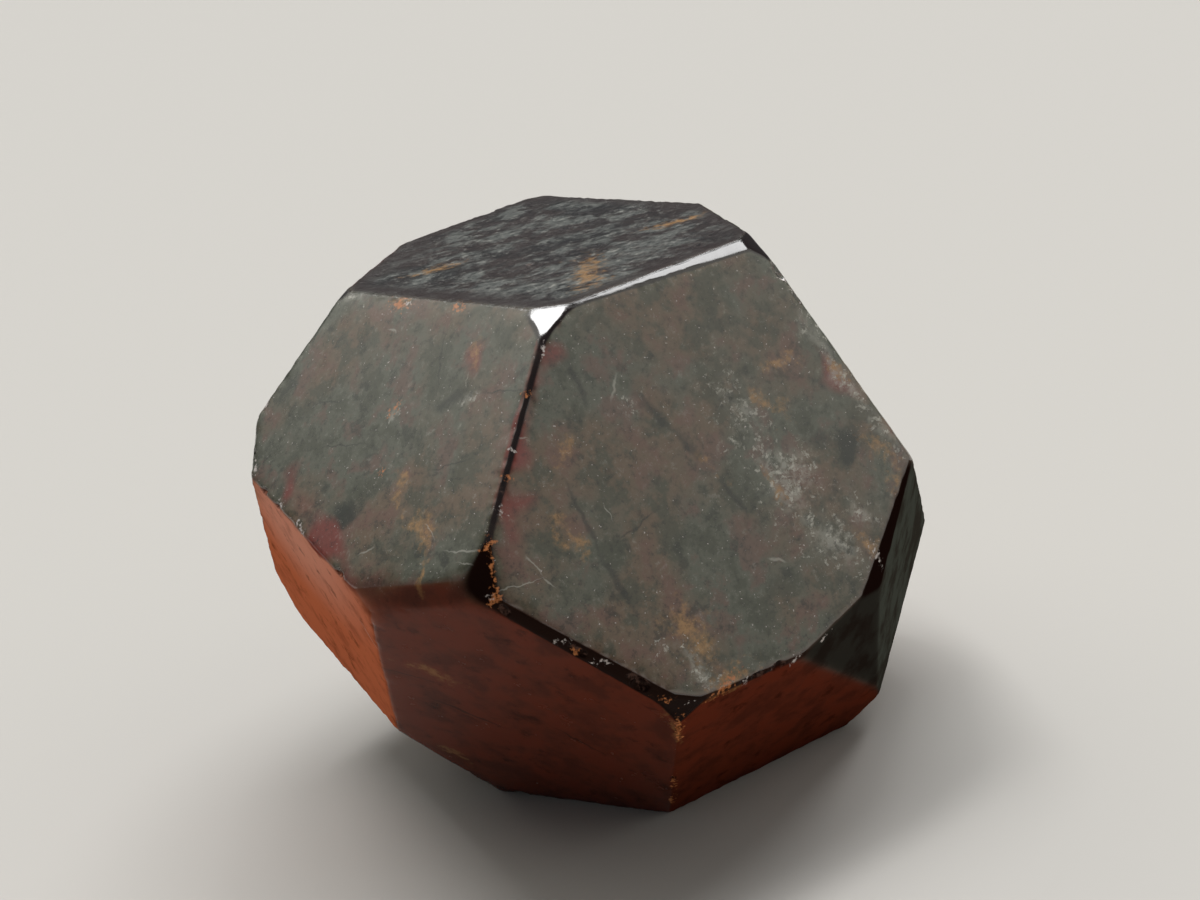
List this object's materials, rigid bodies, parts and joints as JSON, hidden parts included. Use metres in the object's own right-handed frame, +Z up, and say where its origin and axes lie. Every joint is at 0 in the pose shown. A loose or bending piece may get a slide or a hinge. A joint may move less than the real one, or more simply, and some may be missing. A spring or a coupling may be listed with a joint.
{
  "type": "garnet crystal",
  "caption": "Dark red garnet crystal, a rounded many-faced natural lump with smooth faces, worn edges and an etched top face, resting on its flat lower face.",
  "frame": {"origin": "middle of the crystal's footprint box, on the surface it rests on", "axes": "+Z up through the etched top face, -Y towards the viewer and the largest upright face, +X to the viewer's right"},
  "size_m": [0.0606, 0.0576, 0.0457],
  "materials": {
    "garnet": "smooth, glossy, almost opaque dark red with a grey-green sheen, etched and duller on the top face"
  },
  "bodies": {
    "root": {"garnet_crystal": "garnet"}
  },
  "joints": []
}
